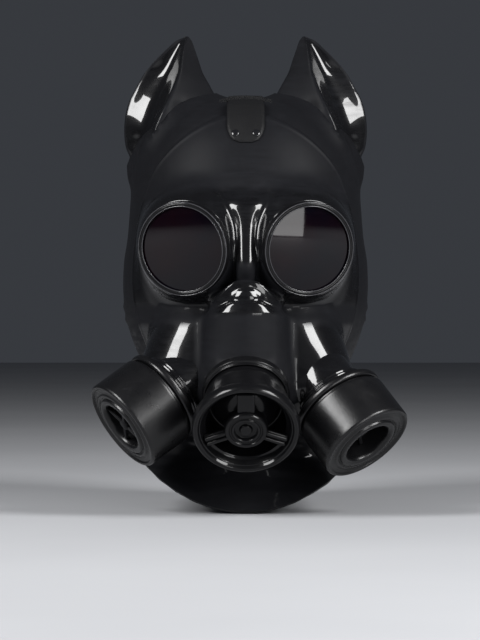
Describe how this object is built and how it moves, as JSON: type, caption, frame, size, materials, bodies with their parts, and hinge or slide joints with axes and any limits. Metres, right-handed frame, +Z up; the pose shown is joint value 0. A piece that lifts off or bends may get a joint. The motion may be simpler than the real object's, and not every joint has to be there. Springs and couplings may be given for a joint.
{
  "type": "gas mask style costume mask",
  "caption": "Full-head hood in glossy black rubber with a bonded gas mask style face piece, round dark lenses, a front valve, side filters and pointed ears.",
  "frame": {"origin": "inner face of the hood's crown, where the wearer's head carries it", "axes": "+Z up, the face looks along -Y, +X to the right as seen from the front"},
  "size_m": [0.2088, 0.2703, 0.3252],
  "materials": {
    "hood_rubber": "smooth glossy black rubber sheet",
    "mask_rubber": "moulded black rubber with a wet-looking gloss",
    "ear_rubber": "moulded black rubber with a wet-looking gloss",
    "lens_tint": "dark plum-tinted lens, smooth and reflective",
    "rim_rubber": "glossy moulded bead",
    "valve_plastic": "moulded black plastic, semi-gloss",
    "ring_rubber": "glossy black rubber",
    "filter_plastic": "moulded black plastic, satin to semi-gloss",
    "grille_plastic": "moulded dark plastic",
    "strap_rubber": "dull black rubber with a rough patch on the crown",
    "stud_rubber": "dull black rubber"
  },
  "bodies": {
    "root": {"hood": "hood_rubber", "face_piece": "mask_rubber", "left_lens": "lens_tint", "left_lens_rim": "rim_rubber", "right_lens": "lens_tint", "right_lens_rim": "rim_rubber", "valve_collar": "valve_plastic", "valve_body": "valve_plastic", "valve_cap": "valve_plastic", "left_port_ring": "ring_rubber", "left_filter_lid": "filter_plastic", "left_filter_drum": "filter_plastic", "left_inlet_grille": "grille_plastic", "right_port_ring": "ring_rubber", "right_filter_lid": "filter_plastic", "right_filter_drum": "filter_plastic", "right_inlet_grille": "grille_plastic", "crown_strap": "strap_rubber", "left_strap_stud": "stud_rubber", "right_strap_stud": "stud_rubber", "right_ear": "ear_rubber", "left_ear": "ear_rubber"}
  },
  "joints": []
}
